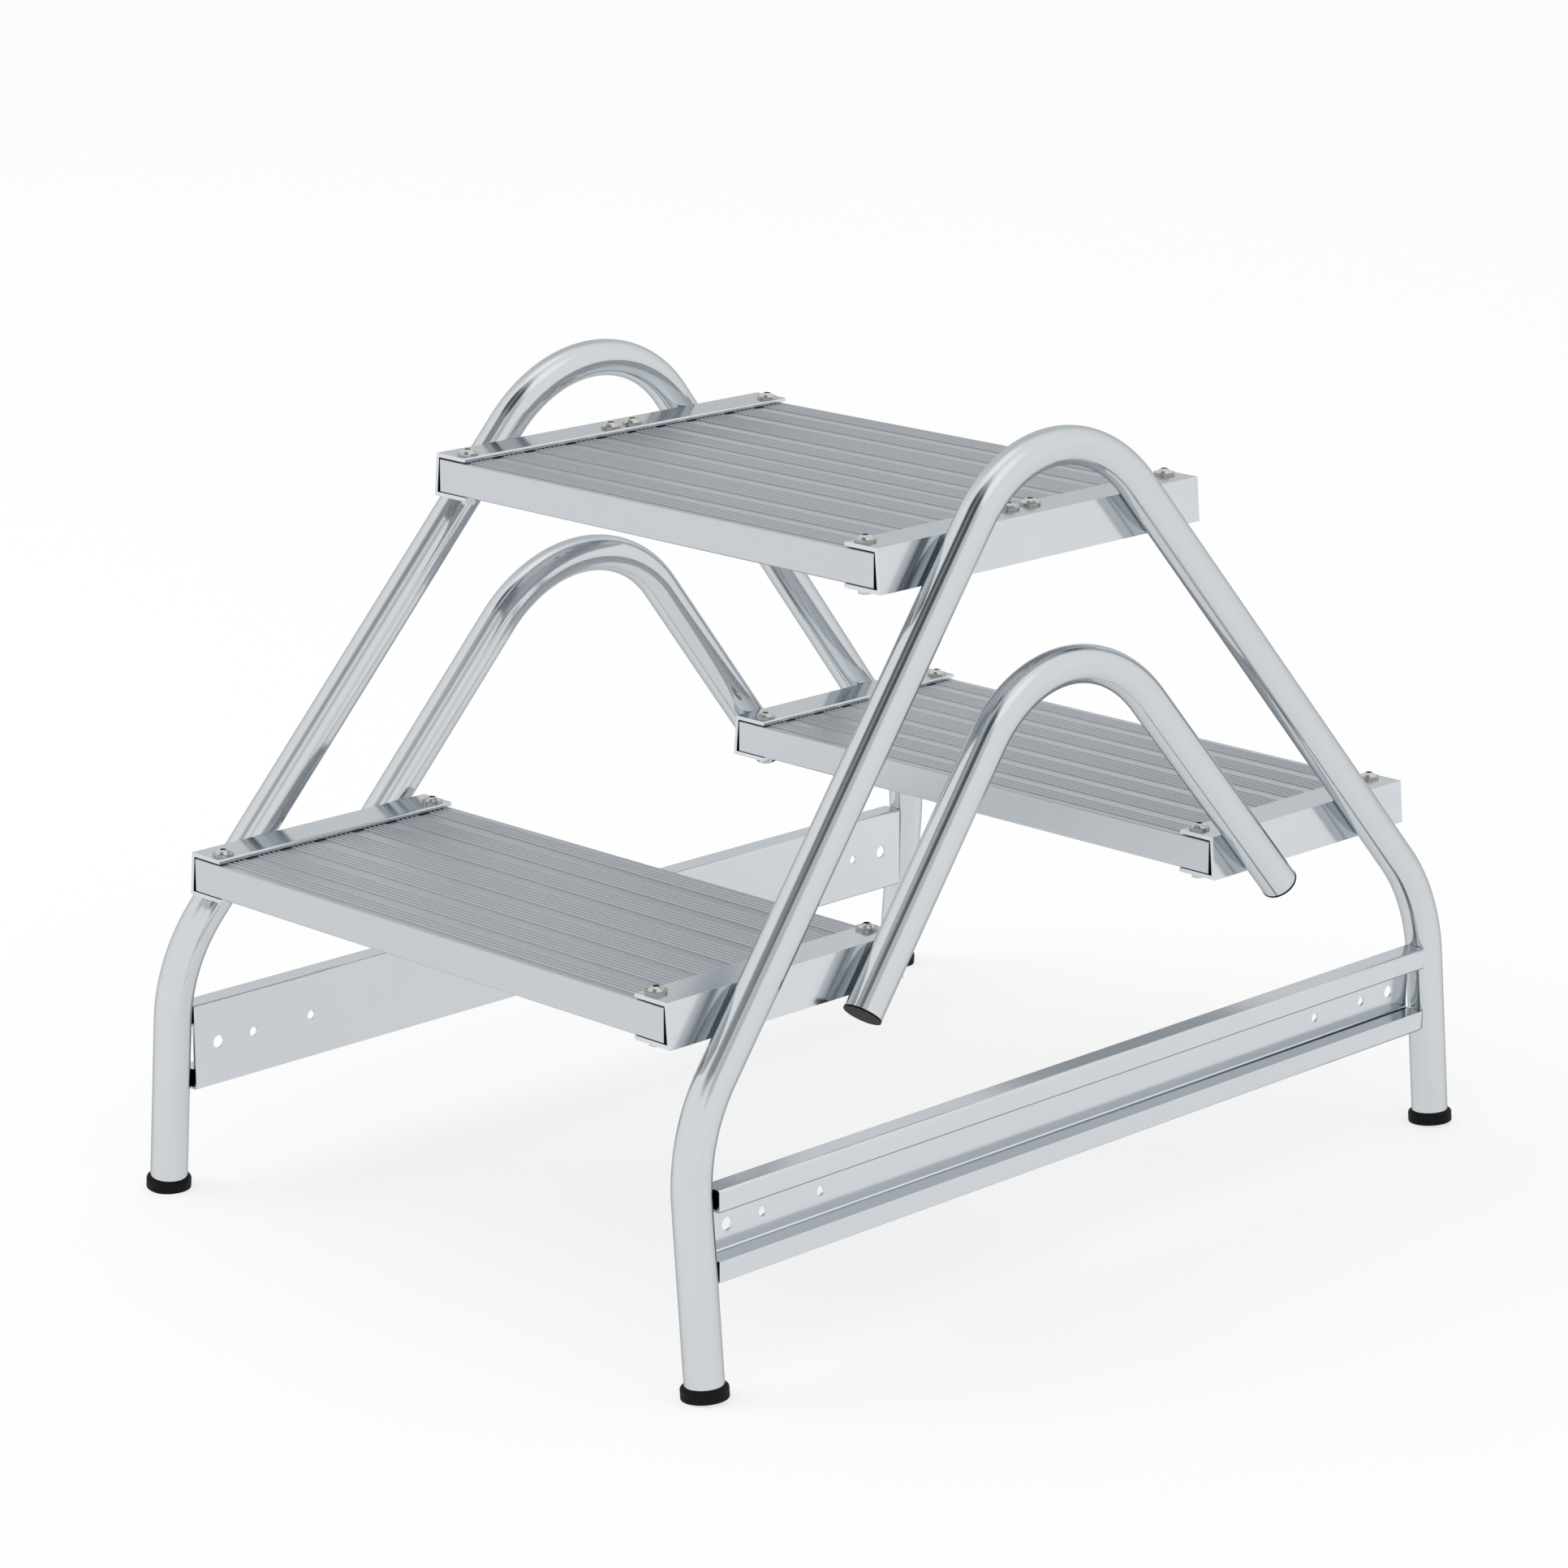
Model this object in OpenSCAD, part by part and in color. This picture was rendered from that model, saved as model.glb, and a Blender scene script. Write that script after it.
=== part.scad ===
// Double-sided work platform in welded and bolted aluminium.
// X runs along the treads, Y is the walking direction and Z is up.
// The origin is on the floor, under the middle of the platform.

/* [Platform and steps] */
// One rise: floor to step, and step to platform
rise = 240; // [225:1:260]
// Length of the two platform treads
tread_l = 401; // [300:1:800]
// Depth of one platform tread, of which there are two
platform_tread_d = 150; // [120:1:170]
// Depth of a step tread
step_tread_d = 200; // [160:1:220]
// How far a step reaches under the platform's edge, seen from above
step_overlap = 1; // [0:0.5:10]
// Open joint between the two platform treads
tread_joint = 0.4; // [0.2:0.1:2]

/* [Tread profile] */
// Wall of the extruded treads
tread_t = 1.8; // [1.5:0.1:2.2]
// Thickness of the webs between the cells of a tread
cell_web_t = 1.6; // [1:0.1:2.4]
// Widest cell that a tread may have
cell_w = 40; // [30:1:60]
// Radius on the long edges of a tread
tread_r = 1.2; // [0.5:0.1:1.7]
// Width of a grip rib at its top
rib_w = 1.8; // [1.2:0.1:2.4]
// Height of a grip rib
rib_h = 0.9; // [0.5:0.1:1.5]
// Distance from one grip rib to the next
rib_pitch = 4; // [3.5:0.1:5]
// Smooth land between two groups of ribs
land_w = 11; // [8:0.5:16]
// Ribs in each side group
side_ribs = 5; // [3:1:6]
// Ribs in the middle group of a platform tread
platform_mid_ribs = 7; // [5:1:8]
// Ribs in the middle group of a step tread
step_mid_ribs = 6; // [5:1:8]
// Least smooth margin beside the outer ribs
rib_margin = 3; // [2:0.5:6]

/* [Brackets] */
// Height of a tread bracket
bracket_h = 29.2; // [27:0.1:34]
// Width of a bracket's top flange, from its outer corner
flange_w = 28.3; // [27.5:0.1:34]
// Thickness of both flanges
flange_t = 2.7; // [2:0.1:3.2]
// Thickness of a bracket's upright web
web_t = 2.5; // [2:0.1:4]
// Radius on the outer edge of both flange tips
nose_r = 1.2; // [0.4:0.1:1.8]

/* [Side frames] */
// Lean of each side frame, from upright
splay = 5; // [2:0.5:8]
// Outside diameter of the frame tubes
tube_d = 25; // [22:0.5:28]
// Wall of the frame tubes
tube_t = 2; // [1.5:0.1:3]
// Slope of the inclined runs, from the frame's own upright
incline = 40; // [36:0.5:44]
// How far a leg's centre line stands outside its step's edge
leg_reach = 2.7; // [0:0.1:10]
// Height of the hand arch's crown above the platform
arch_rise = 55.4; // [45:0.1:80]
// Centre-line radius of both crowns
crown_r = 100; // [80:1:110]
// Centre-line radius of the bend above each foot
leg_bend_r = 112; // [90:1:130]
// Distance between the main and the inner tube, between centre lines
tube_pitch = 90; // [80:1:105]
// How far an inner tube ends below its step bracket
inner_drop = 8.5; // [4:0.5:20]

/* [Base rails] */
// Height of a rail's middle above the floor
rail_mid_h = 98.5; // [70:0.5:110]
// Height of a rail
rail_h = 59; // [50:1:70]
// Depth of a rail, across its hollow edges
rail_d = 16; // [12:1:20]
// Height of each hollow edge of a rail
rail_edge_h = 14; // [10:0.5:16]
// Wall of a rail's hollow edges
rail_t = 1.5; // [1.2:0.1:2.5]
// Thickness of a rail's web
rail_web_t = 2; // [1.5:0.1:4]
// Outer radius on a rail's corners
rail_r = 1.6; // [0.5:0.1:3]
// Diameter of the end hole in a rail
end_hole_d = 9; // [6:0.1:12]
// Distance of the end hole from the rail's end
end_hole_in = 20; // [14:0.5:30]
// Diameter of the two accessory holes near each end of a rail
acc_hole_d = 6.6; // [4:0.1:9]
// Distance of the first accessory hole from the rail's end
acc_hole_in = 50; // [42:0.5:70]
// Distance between the two accessory holes
acc_hole_pitch = 50; // [30:1:70]

/* [Feet and end caps] */
// Diameter of a foot's collar
foot_d = 30; // [29:0.5:36]
// Height of a foot's collar
foot_h = 8.5; // [6:0.5:14]
// Rounding of a foot's shoulder
foot_r = 2.2; // [1:0.1:2.4]
// How far the sole's middle is kept above the floor before it is dressed flat
sole_lift = 0.3; // [0.1:0.1:0.8]
// Length of the plug inside each leg
foot_plug_l = 22; // [10:1:40]
// Thickness of an end cap's rim
cap_t = 1.2; // [0.8:0.1:3]
// How far an end cap's rim stands out past its tube, all round
cap_over = 0.2; // [0.1:0.1:0.4]
// Length of an end cap's plug
cap_plug_l = 12; // [6:1:30]

/* [Fasteners] */
// Diameter of the screws
screw_d = 5; // [4:0.5:6]
// Diameter of a screw's button head
head_d = 10.4; // [9:0.1:11]
// Height of a screw's button head
head_h = 3; // [2.6:0.1:4]
// Width across the flats of the socket in a head
socket_af = 4; // [2.5:0.5:4.5]
// Depth of the socket in a head
socket_depth = 1.8; // [1:0.1:2.2]
// Diameter of the washers
washer_d = 14; // [12:0.5:16]
// Thickness of the washers
washer_t = 1.4; // [1:0.1:2]
// Width across the flats of the nuts
nut_af = 8; // [7.5:0.1:10]
// Height of the nuts
nut_h = 4; // [3:0.1:5]
// Distance of a screw from its bracket's outer corner
screw_in = 20; // [18:0.5:21]
// Distance of a screw from the long edge of its tread
screw_edge = 10; // [9:0.5:14]

/* [Clearances] */
// Gap above and below a tread in its brackets
seat_gap = 0.2; // [0.1:0.05:0.4]
// Gap between a tread's end and the web, at the top
end_gap = 0.9; // [0.8:0.1:2]
// Gap between a welded tube and the face that it stands against
weld_gap = 0.1; // [0.05:0.05:0.3]
// Gap between a rail's end and the leg
rail_gap = 0.3; // [0.2:0.1:0.8]
// Gap round a plug in its tube
plug_gap = 0.1; // [0.05:0.05:0.3]
// Gap round a screw in its holes
hole_gap = 0.3; // [0.1:0.1:0.5]
// Gap round a screw in its washer and nut
thread_gap = 0.1; // [0.05:0.05:0.2]

/* [Hidden] */
$fn = 96;

// Finishes
mill_aluminium = "#c9cdd2";
ribbed_aluminium = "#b2b5ba";
stainless = "#b9b7b0";
black_rubber = "#1f2020";

// How far a cut reaches past what it opens, in a wall and round the whole stand
over = 1;
below = 60;

// How far a straight run laps into a bend, and how much a bend's wall swells, as a share
// of its radius on each face
bend_lap = 0.5;
bend_swell = 0.0125;

// Least rounding inside a hollow edge
least_r = 0.2;

// Share of a nut's height that the screw fills
nut_grip = 0.9;

// Heights and lengths of the treads
platform_h = 2 * rise;
step_h = rise;
tread_h = bracket_h - 2 * flange_t - 2 * seat_gap;
tread_drop = flange_t + seat_gap;
lean = tan(splay);
step_tread_l = tread_l + 2 * (platform_h - step_h) * lean;

// Outer top corner of the brackets, on the platform and on the steps
corner_x = tread_l / 2 + end_gap + web_t / cos(splay) - flange_t * lean;
step_corner_x = corner_x + (platform_h - step_h) * lean;

// Where the steps begin and end along Y
step_y0 = platform_tread_d - step_overlap;
step_y1 = step_y0 + step_tread_d;

// Screw positions
platform_screw_x = corner_x - screw_in;
step_screw_x = step_corner_x - screw_in;
platform_screw_y = [screw_edge, platform_tread_d - screw_edge];
step_screw_y = [step_y0 + screw_edge, step_y1 - screw_edge];
platform_ys = concat(-platform_screw_y, platform_screw_y);

// The shank ends inside the nut, a little short of its lower face
shank_l = washer_t + bracket_h + nut_grip * nut_h;

// The frame's own plane: floor_x is where its middle meets the floor
tube_r = tube_d / 2;
bore_r = tube_r - tube_t;
floor_x = corner_x + platform_h * lean + (tube_r + weld_gap) / cos(splay);
leg_y = step_y1 + leg_reach;
crown_w = (platform_h + arch_rise - tube_r) / cos(splay);
apex_w = crown_w + crown_r * (1 / sin(incline) - 1);
crown_mid_w = apex_w - crown_r / sin(incline);
bend_mid_y = leg_y - leg_bend_r;
bend_mid_w = (apex_w * sin(incline) - leg_bend_r - bend_mid_y * cos(incline)) / sin(incline);
incline_drop = crown_mid_w + crown_r * sin(incline) - bend_mid_w - leg_bend_r * sin(incline);
incline_l = incline_drop / cos(incline);
leg_end_w = sole_lift / cos(splay) + foot_h;
leg_l = bend_mid_w - leg_end_w;

// The inner tube lies parallel to the main one
inner_apex_w = apex_w - tube_pitch / sin(incline);
inner_mid_w = inner_apex_w - crown_r / sin(incline);
inner_end_w = (step_h - bracket_h - inner_drop) / cos(splay);
inner_end_y = (inner_apex_w - inner_end_w) * tan(incline);
inner_incline_l = (inner_mid_w + crown_r * sin(incline) - inner_end_w) / cos(incline);

// The rail stands upright on the frame's middle, between the legs' bends
rail_x = floor_x - rail_mid_h * lean;
rail_top_w = (rail_mid_h + rail_h / 2) / cos(splay);
past_bend = max(0, rail_top_w - bend_mid_w);
bend_draw = leg_bend_r - sqrt(leg_bend_r * leg_bend_r - past_bend * past_bend);
rail_end_y = leg_y - tube_r - bend_draw - rail_gap;

// A frame part is drawn in its own plane, with x along Y and y up the lean
module on_frame(side) {
    mirror([side < 0 ? 1 : 0, 0, 0])
        translate([floor_x, 0, 0])
            rotate([0, -splay, 0])
                rotate([90, 0, 90])
                    children();
}

// Draws a part once as it is and once mirrored front to back
module both_ends() {
    children();
    mirror([1, 0, 0]) children();
}

module ring(outer, inner) {
    difference() {
        circle(outer);
        circle(inner);
    }
}

// An arc of tube about the origin, from angle a0 to a1
module bend(radius, a0, a1) {
    rotate([0, 0, a0])
        rotate_extrude(angle = a1 - a0)
            translate([radius, 0])
                ring(tube_r * (1 + bend_swell), bore_r * (1 - bend_swell));
}

// A straight run of tube, down from a bend that ends at the origin
module run(length, far_lap = 0) {
    translate([0, bend_lap, 0])
        rotate([90, 0, 0])
            linear_extrude(bend_lap + length + far_lap)
                ring(tube_r, bore_r);
}

// Places what carries on from the end, at angle a, of a bend about the origin
module after_bend(radius, a) {
    rotate([0, 0, a]) translate([radius, 0, 0]) children();
}

// One bent tube: the hand arch, and on each side an inclined run, a bend and a leg
module main_tube(side) {
    color(mill_aluminium) on_frame(side) translate([0, crown_mid_w, 0]) {
        bend(crown_r, incline, 180 - incline);
        both_ends() after_bend(crown_r, incline) {
            run(incline_l, bend_lap);
            translate([-leg_bend_r, -incline_l, 0]) {
                bend(leg_bend_r, -incline, 0);
                after_bend(leg_bend_r, -incline) run(leg_l);
            }
        }
    }
}

// One bent tube that lies parallel to the main one and ends under the steps
module inner_tube(side) {
    color(mill_aluminium) on_frame(side) translate([0, inner_mid_w, 0]) {
        bend(crown_r, incline, 180 - incline);
        both_ends() after_bend(crown_r, incline) run(inner_incline_l);
    }
}

// Unit vector from p towards q
function towards(p, q) = (q - p) / norm(q - p);

// A convex outline in which corner i has the radius radii[i]
module rounded_outline(points, radii) {
    n = len(points);
    corners = [for (i = [0 : n - 1])
        let (
            u = towards(points[i], points[(i + n - 1) % n]),
            v = towards(points[i], points[(i + 1) % n]),
            half = acos(u * v) / 2,
            reach = radii[i] / tan(half),
            mid = points[i] + radii[i] / sin(half) * (u + v) / norm(u + v)
        )
        [points[i] + reach * u, points[i] + reach * v, mid]
    ];
    polygon([for (i = [0 : n - 1], k = radii[i] > 0 ? [0, 1] : [0]) corners[i][k]]);
    for (i = [0 : n - 1])
        if (radii[i] > 0)
            translate(corners[i].z) circle(radii[i]);
}

// A bar with its lower left corner at the origin and all corners rounded
module rounded_bar(w, h, r) {
    rounded_outline([[0, 0], [w, 0], [w, h], [0, h]], [r, r, r, r]);
}

// Rail section: two hollow edges that stand outwards, joined by a web
module rail_section() {
    gap_h = rail_h - 2 * rail_edge_h;
    bore_corner = max(least_r, rail_r - rail_t);
    bore_w = rail_d - 2 * rail_t;
    bore_h = rail_edge_h - 2 * rail_t;
    web_face = rail_web_t - rail_d / 2;
    difference() {
        translate([-rail_d / 2, -rail_h / 2]) rounded_bar(rail_d, rail_h, rail_r);
        for (z = [-rail_h / 2, gap_h / 2])
            translate([rail_t - rail_d / 2, z + rail_t]) rounded_bar(bore_w, bore_h, bore_corner);
        rounded_outline(
            [[web_face, -gap_h / 2], [rail_d, -gap_h / 2], [rail_d, gap_h / 2], [web_face, gap_h / 2]],
            [rail_r, 0, 0, rail_r]
        );
    }
}

module rail_hole(y, d) {
    translate([-rail_d / 2 - over, y, 0])
        rotate([0, 90, 0]) cylinder(d = d, h = rail_web_t + 2 * over);
}

module base_rail(side) {
    color(mill_aluminium)
        mirror([side < 0 ? 1 : 0, 0, 0])
            translate([rail_x, 0, rail_mid_h])
                difference() {
                    translate([0, rail_end_y, 0])
                        rotate([90, 0, 0])
                            linear_extrude(2 * rail_end_y)
                                rail_section();
                    for (end = [-1, 1]) {
                        rail_hole(end * (rail_end_y - end_hole_in), end_hole_d);
                        rail_hole(end * (rail_end_y - acc_hole_in), acc_hole_d);
                        rail_hole(end * (rail_end_y - acc_hole_in - acc_hole_pitch), acc_hole_d);
                    }
                }
}

// Bracket section, from its outer top corner: a channel with a leaning web
module bracket_section() {
    web_x = web_t / cos(splay);
    top = -flange_t;
    low = flange_t - bracket_h;
    difference() {
        rounded_outline(
            [[0, 0], [-flange_w, 0], [-flange_w, -bracket_h], [bracket_h * lean, -bracket_h]],
            [0, nose_r, nose_r, 0]
        );
        polygon([[-top * lean - web_x, top], [-below, top], [-below, low], [-low * lean - web_x, low]]);
    }
}

module tread_bracket(side, x, y0, y1, top, screw_x, screw_ys) {
    color(mill_aluminium)
        mirror([side < 0 ? 1 : 0, 0, 0])
            difference() {
                translate([x, y1, top])
                    rotate([90, 0, 0])
                        linear_extrude(y1 - y0)
                            bracket_section();
                for (y = screw_ys)
                    translate([screw_x, y, top - bracket_h - over])
                        cylinder(d = screw_d + 2 * hole_gap, h = bracket_h + 2 * over);
            }
}

module platform_bracket(side) {
    d = platform_tread_d;
    tread_bracket(side, corner_x, -d, d, platform_h, platform_screw_x, platform_ys);
}

// end is -1 for the front step and 1 for the rear one
module step_bracket(side, end) {
    y0 = end > 0 ? step_y0 : -step_y1;
    y1 = y0 + step_tread_d;
    tread_bracket(side, step_corner_x, y0, y1, step_h, step_screw_x, end * step_screw_y);
}

// Widths of the groups and of one group with the land beside it
function group_w(n) = n * rib_pitch - (rib_pitch - rib_w);
function side_step() = group_w(side_ribs) + land_w;
function side_groups(depth, mid_ribs) =
    floor((depth / 2 - rib_margin - group_w(mid_ribs) / 2) / side_step());
function spare_w(depth, mid_ribs) =
    depth / 2 - rib_margin - group_w(mid_ribs) / 2 - side_groups(depth, mid_ribs) * side_step();
function end_ribs(depth, mid_ribs) =
    floor((spare_w(depth, mid_ribs) - land_w + rib_pitch - rib_w) / rib_pitch);

// A group of grip ribs that starts at y, on a face at height z
module rib_group(y, z, n) {
    flank = rib_w / 8;
    for (i = [0 : n - 1])
        translate([y + i * rib_pitch, z])
            polygon([[-flank, 0], [rib_w + flank, 0], [rib_w - flank, rib_h], [flank, rib_h]]);
}

module ribs(depth, z, mid_ribs) {
    mid_w = group_w(mid_ribs);
    sides = side_groups(depth, mid_ribs);
    last = end_ribs(depth, mid_ribs);
    rib_group(-mid_w / 2, z, mid_ribs);
    both_ends() {
        for (k = [1 : 1 : sides])
            rib_group(mid_w / 2 + k * side_step() - group_w(side_ribs), z, side_ribs);
        if (last > 1)
            rib_group(mid_w / 2 + sides * side_step() + land_w, z, last);
    }
}

// Tread section: a hollow board with a row of cells and a ribbed top
module tread_section(depth, mid_ribs) {
    board_h = tread_h - rib_h;
    cells = ceil(depth / cell_w);
    pitch = (depth - 2 * tread_t + cell_web_t) / cells;
    difference() {
        translate([-depth / 2, 0]) rounded_bar(depth, board_h, tread_r);
        for (i = [0 : cells - 1])
            translate([tread_t - depth / 2 + i * pitch, tread_t])
                rounded_bar(pitch - cell_web_t, board_h - 2 * tread_t, tread_r);
    }
    ribs(depth, board_h, mid_ribs);
}

module tread(length, y0, y1, top, mid_ribs, screw_x, screw_ys) {
    color(ribbed_aluminium)
        difference() {
            translate([-length / 2, (y0 + y1) / 2, top - tread_drop - tread_h])
                rotate([90, 0, 90])
                    linear_extrude(length)
                        tread_section(y1 - y0, mid_ribs);
            for (x = [-screw_x, screw_x], y = screw_ys)
                translate([x, y, top - tread_drop - tread_h - over])
                    cylinder(d = screw_d + 2 * hole_gap, h = tread_h + 2 * over);
        }
}

module platform_tread(end) {
    y0 = end > 0 ? tread_joint / 2 : -platform_tread_d;
    y1 = end > 0 ? platform_tread_d : -tread_joint / 2;
    ys = end * platform_screw_y;
    tread(tread_l, y0, y1, platform_h, platform_mid_ribs, platform_screw_x, ys);
}

module step_tread(end) {
    y0 = end > 0 ? step_y0 : -step_y1;
    y1 = y0 + step_tread_d;
    ys = end * step_screw_y;
    tread(step_tread_l, y0, y1, step_h, step_mid_ribs, step_screw_x, ys);
}

// Half the outline of a disc with rounded edges, for turning
module disc_half(radius, height, low_r, high_r) {
    square([radius - max(low_r, high_r), height]);
    translate([0, low_r]) square([radius, height - low_r - high_r]);
    square([radius - low_r, height / 2]);
    translate([0, height / 2]) square([radius - high_r, height / 2]);
    translate([radius - low_r, low_r]) circle(low_r);
    translate([radius - high_r, height - high_r]) circle(high_r);
}

// Moulded foot: a collar under the leg and a plug inside it
module foot(side, end) {
    sole_w = sole_lift / cos(splay);
    color(black_rubber)
        difference() {
            on_frame(side)
                translate([end * leg_y, sole_w, 0])
                    rotate([-90, 0, 0]) {
                        rotate_extrude()
                            disc_half(foot_d / 2, foot_h, foot_r / 2, foot_r);
                        cylinder(r = bore_r - plug_gap, h = foot_h + foot_plug_l);
                    }
            translate([-floor_x - below, -leg_y - below, -below])
                cube([2 * (floor_x + below), 2 * (leg_y + below), below]);
        }
}

// End cap: a thin rim under the inner tube's end and a plug inside it
module end_cap(side, end) {
    color(black_rubber)
        on_frame(side)
            mirror([end < 0 ? 1 : 0, 0, 0])
                translate([inner_end_y, inner_end_w, 0])
                    rotate([0, 0, incline])
                        rotate([-90, 0, 0]) {
                            translate([0, 0, -cap_t])
                                cylinder(r = tube_r + cap_over, h = cap_t);
                            cylinder(r = bore_r - plug_gap, h = cap_plug_l);
                        }
}

// Places a fastener at each screw of a deck
module at_screws(x, ys, z) {
    for (sx = [-x, x], y = ys)
        translate([sx, y, z]) children();
}

// Button-head screw; its head stands on z = 0
module screw() {
    dome_r = (head_d * head_d / 4 + head_h * head_h) / (2 * head_h);
    difference() {
        intersection() {
            cylinder(d = head_d, h = head_h);
            translate([0, 0, head_h - dome_r]) sphere(dome_r);
        }
        translate([0, 0, head_h - socket_depth])
            cylinder(d = socket_af / cos(30), h = socket_depth + over, $fn = 6);
    }
    translate([0, 0, -shank_l]) cylinder(d = screw_d, h = shank_l);
}

module washer() {
    difference() {
        cylinder(d = washer_d, h = washer_t);
        translate([0, 0, -over]) cylinder(d = screw_d + 2 * thread_gap, h = washer_t + 2 * over);
    }
}

module nut() {
    difference() {
        cylinder(d = nut_af / cos(30), h = nut_h, $fn = 6);
        translate([0, 0, -over]) cylinder(d = screw_d + 2 * thread_gap, h = nut_h + 2 * over);
    }
}

module screws(x, ys, top) {
    color(stainless) at_screws(x, ys, top + washer_t) screw();
}

module washers(x, ys, top) {
    color(stainless) at_screws(x, ys, top) washer();
}

module nuts(x, ys, top) {
    color(stainless) at_screws(x, ys, top - bracket_h - nut_h) nut();
}

main_tube(-1);  // left_main_tube
main_tube(1);  // right_main_tube
inner_tube(-1);  // left_inner_tube
inner_tube(1);  // right_inner_tube
base_rail(-1);  // left_base_rail
base_rail(1);  // right_base_rail
platform_bracket(-1);  // left_platform_bracket
platform_bracket(1);  // right_platform_bracket
step_bracket(-1, -1);  // left_front_step_bracket
step_bracket(1, -1);  // right_front_step_bracket
step_bracket(-1, 1);  // left_rear_step_bracket
step_bracket(1, 1);  // right_rear_step_bracket
platform_tread(-1);  // front_platform_tread
platform_tread(1);  // rear_platform_tread
step_tread(-1);  // front_step_tread
step_tread(1);  // rear_step_tread
foot(-1, -1);  // left_front_foot
foot(1, -1);  // right_front_foot
foot(-1, 1);  // left_rear_foot
foot(1, 1);  // right_rear_foot
end_cap(-1, -1);  // left_front_end_cap
end_cap(1, -1);  // right_front_end_cap
end_cap(-1, 1);  // left_rear_end_cap
end_cap(1, 1);  // right_rear_end_cap
screws(platform_screw_x, platform_ys, platform_h);  // platform_screws
washers(platform_screw_x, platform_ys, platform_h);  // platform_washers
nuts(platform_screw_x, platform_ys, platform_h);  // platform_nuts
screws(step_screw_x, -step_screw_y, step_h);  // front_step_screws
washers(step_screw_x, -step_screw_y, step_h);  // front_step_washers
nuts(step_screw_x, -step_screw_y, step_h);  // front_step_nuts
screws(step_screw_x, step_screw_y, step_h);  // rear_step_screws
washers(step_screw_x, step_screw_y, step_h);  // rear_step_washers
nuts(step_screw_x, step_screw_y, step_h);  // rear_step_nuts
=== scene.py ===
"""Looks of a double-sided work platform in welded and bolted aluminium.

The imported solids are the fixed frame. The bent tubes are drawn again here as smooth sweeps, and
every other solid keeps its shape and gets the finish of the real material.
"""

import logging
import math
from dataclasses import dataclass, field
from enum import Enum
from typing import Any

import bpy
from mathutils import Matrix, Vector
from mathutils.kdtree import KDTree


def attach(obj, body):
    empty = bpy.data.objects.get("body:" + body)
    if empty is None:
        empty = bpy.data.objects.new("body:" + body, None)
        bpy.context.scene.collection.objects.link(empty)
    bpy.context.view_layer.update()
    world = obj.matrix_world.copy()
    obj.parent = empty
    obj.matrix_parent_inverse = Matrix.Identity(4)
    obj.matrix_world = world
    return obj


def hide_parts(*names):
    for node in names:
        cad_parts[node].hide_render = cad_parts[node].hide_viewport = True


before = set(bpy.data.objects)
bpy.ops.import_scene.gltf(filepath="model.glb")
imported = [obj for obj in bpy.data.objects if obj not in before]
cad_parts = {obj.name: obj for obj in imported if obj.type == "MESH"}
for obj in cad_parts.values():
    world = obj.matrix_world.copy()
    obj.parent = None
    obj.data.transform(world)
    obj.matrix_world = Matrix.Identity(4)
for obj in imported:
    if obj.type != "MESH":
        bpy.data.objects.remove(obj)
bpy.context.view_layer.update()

LOG = logging.getLogger("work_platform")
MM = 0.001


class Side(Enum):
    """The two side frames, by the sign of their X."""

    LEFT = -1
    RIGHT = 1


class Grain(Enum):
    """The direction in which the die has drawn a profile, as the scale of its line pattern."""

    ALONG_X = (1.0, 150.0, 150.0)
    ALONG_Y = (150.0, 1.0, 150.0)
    ALONG_UV = (1.0, 150.0, 1.0)


def linear(hex_colour: str) -> tuple[float, float, float, float]:
    """Turns an sRGB hex colour into linear light.

    Args:
        hex_colour: Six hex digits after a hash sign.

    Returns:
        Red, green and blue, and 1 for opaque.
    """
    rgb = []
    for start in (1, 3, 5):
        value = int(hex_colour[start:start + 2], 16) / 255
        rgb.append(value / 12.92 if value <= 0.04045 else ((value + 0.055) / 1.055) ** 2.4)
    return (*rgb, 1.0)


def add_node(tree: bpy.types.NodeTree, kind: str, settings: dict[str, Any] | None = None,
             links: dict[str | int, Any] | None = None) -> bpy.types.Node:
    """Adds a node to a tree, with its settings and the links that come into it.

    Args:
        tree: The material's or the world's node tree.
        kind: The node's type name without its common start.
        settings: Properties by name, and socket values by the socket's name or number.
        links: The output socket that feeds each input, by the input's name or number.

    Returns:
        The new node.
    """
    new = tree.nodes.new("ShaderNode" + kind)
    for key, value in (settings or {}).items():
        if isinstance(key, str) and key in new.bl_rna.properties:
            setattr(new, key, value)
        else:
            new.inputs[key].default_value = value
    for key, socket in (links or {}).items():
        tree.links.new(socket, new.inputs[key])
    return new


def blank_material(name: str) -> tuple[bpy.types.Material, bpy.types.NodeTree]:
    """Makes a material with an empty node tree.

    Args:
        name: The material's name.

    Returns:
        The material and its tree.
    """
    material = bpy.data.materials.new(name)
    material.use_nodes = True
    material.node_tree.nodes.clear()
    return material, material.node_tree


def deselect() -> None:
    """Clears the selection, so that an operator acts on its own piece only."""
    for chosen in bpy.context.selected_objects:
        chosen.select_set(False)


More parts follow.
